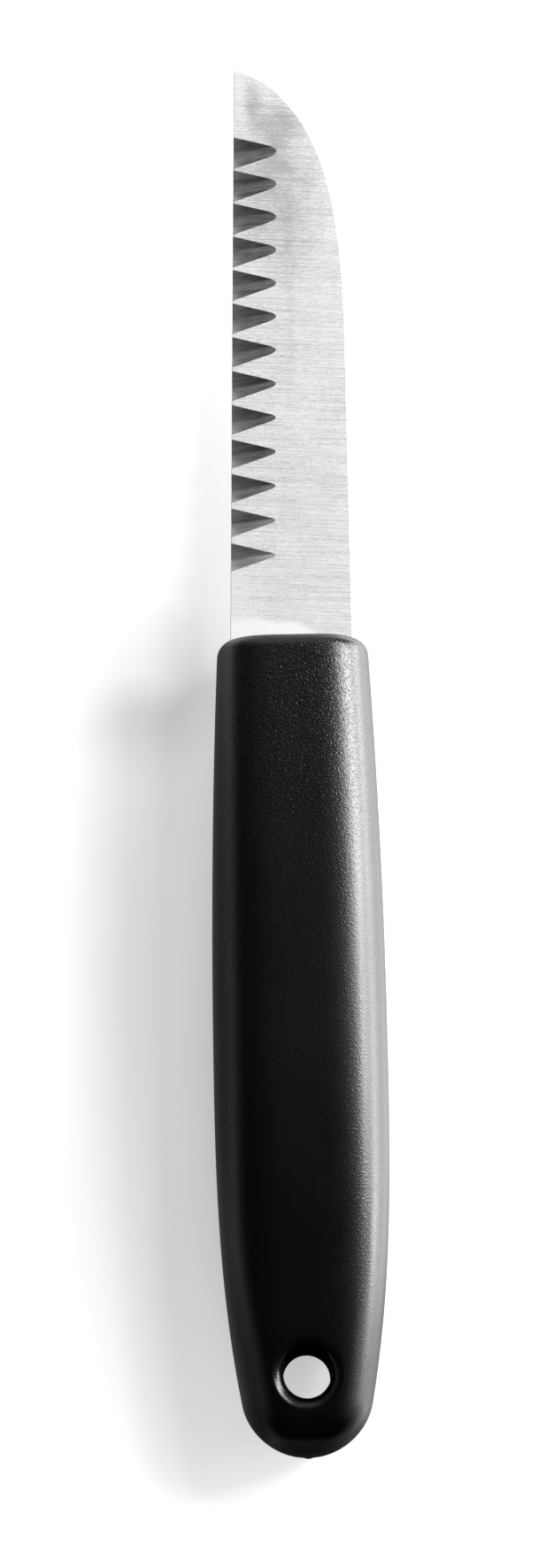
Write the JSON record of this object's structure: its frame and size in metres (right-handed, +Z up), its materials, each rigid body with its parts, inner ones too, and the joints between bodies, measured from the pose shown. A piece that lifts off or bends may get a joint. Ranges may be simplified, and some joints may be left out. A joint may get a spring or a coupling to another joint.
{
  "type": "decorating knife",
  "caption": "Decorating knife: stamped steel blade with a straight edge fluted into a zigzag for wavy cuts, and a black moulded plastic handle with a hanging hole.",
  "frame": {"origin": "on the surface that the knife lies on, under the middle of its length and the handle's axis", "axes": "+Y along the handle's axis towards the tip, -X towards the cutting edge, +X towards the spine, +Z up, square to the blade's face"},
  "size_m": [0.0244, 0.2058, 0.017],
  "materials": {
    "blade_steel": "fine brushed lines across the blade, darker ground flutes",
    "handle_plastic": "black, fine moulded grain, satin sheen"
  },
  "bodies": {
    "root": {"blade": "blade_steel", "handle": "handle_plastic"}
  },
  "joints": []
}
